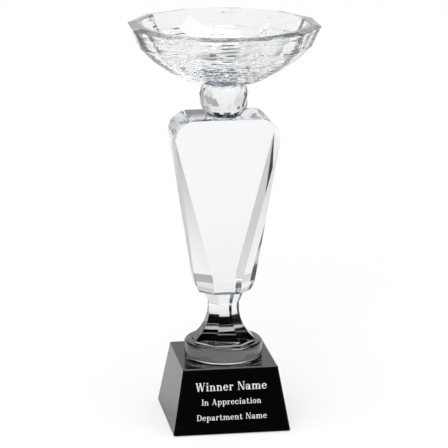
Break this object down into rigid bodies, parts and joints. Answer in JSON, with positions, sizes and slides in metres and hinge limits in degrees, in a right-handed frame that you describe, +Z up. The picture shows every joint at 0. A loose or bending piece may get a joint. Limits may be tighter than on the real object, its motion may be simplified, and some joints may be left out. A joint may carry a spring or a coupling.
{
  "type": "crystal award",
  "caption": "Clear crystal presentation cup: cut bowl on a faceted ball, keystone column, octagonal stem and round disc, bonded to a black plinth with filled lettering.",
  "frame": {"origin": "centre of the felt pad's underside, on the surface the cup stands on", "axes": "+Z up through the bowl, the lettered front face towards -Y, +X to the reader's right"},
  "size_m": [0.156, 0.156, 0.3435],
  "materials": {
    "felt": "short black felt nap",
    "tack": "thin clear pressure-sensitive layer",
    "black_crystal": "polished jet-black glass, mirror gloss, ground and polished bevels",
    "letter_fill": "matte white enamel filling the sandblasted letters",
    "bond": "cured clear bonding resin",
    "crystal": "optical crystal, colourless, flat facets with sharp polished edges",
    "cut_crystal": "cut crystal, polished hollow, panels chiselled with level grooves outside"
  },
  "bodies": {
    "root": {"felt_pad": "felt", "felt_pad_adhesive": "tack", "black_plinth": "black_crystal", "etched_lettering": "letter_fill", "disc_bond_film": "bond", "round_disc": "crystal", "stem_bond_film": "bond", "octagonal_stem": "crystal", "column_bond_film": "bond", "keystone_column": "crystal", "ball_bond_film": "bond", "faceted_ball": "crystal", "bowl_bond_film": "bond", "cut_bowl": "cut_crystal"}
  },
  "joints": []
}
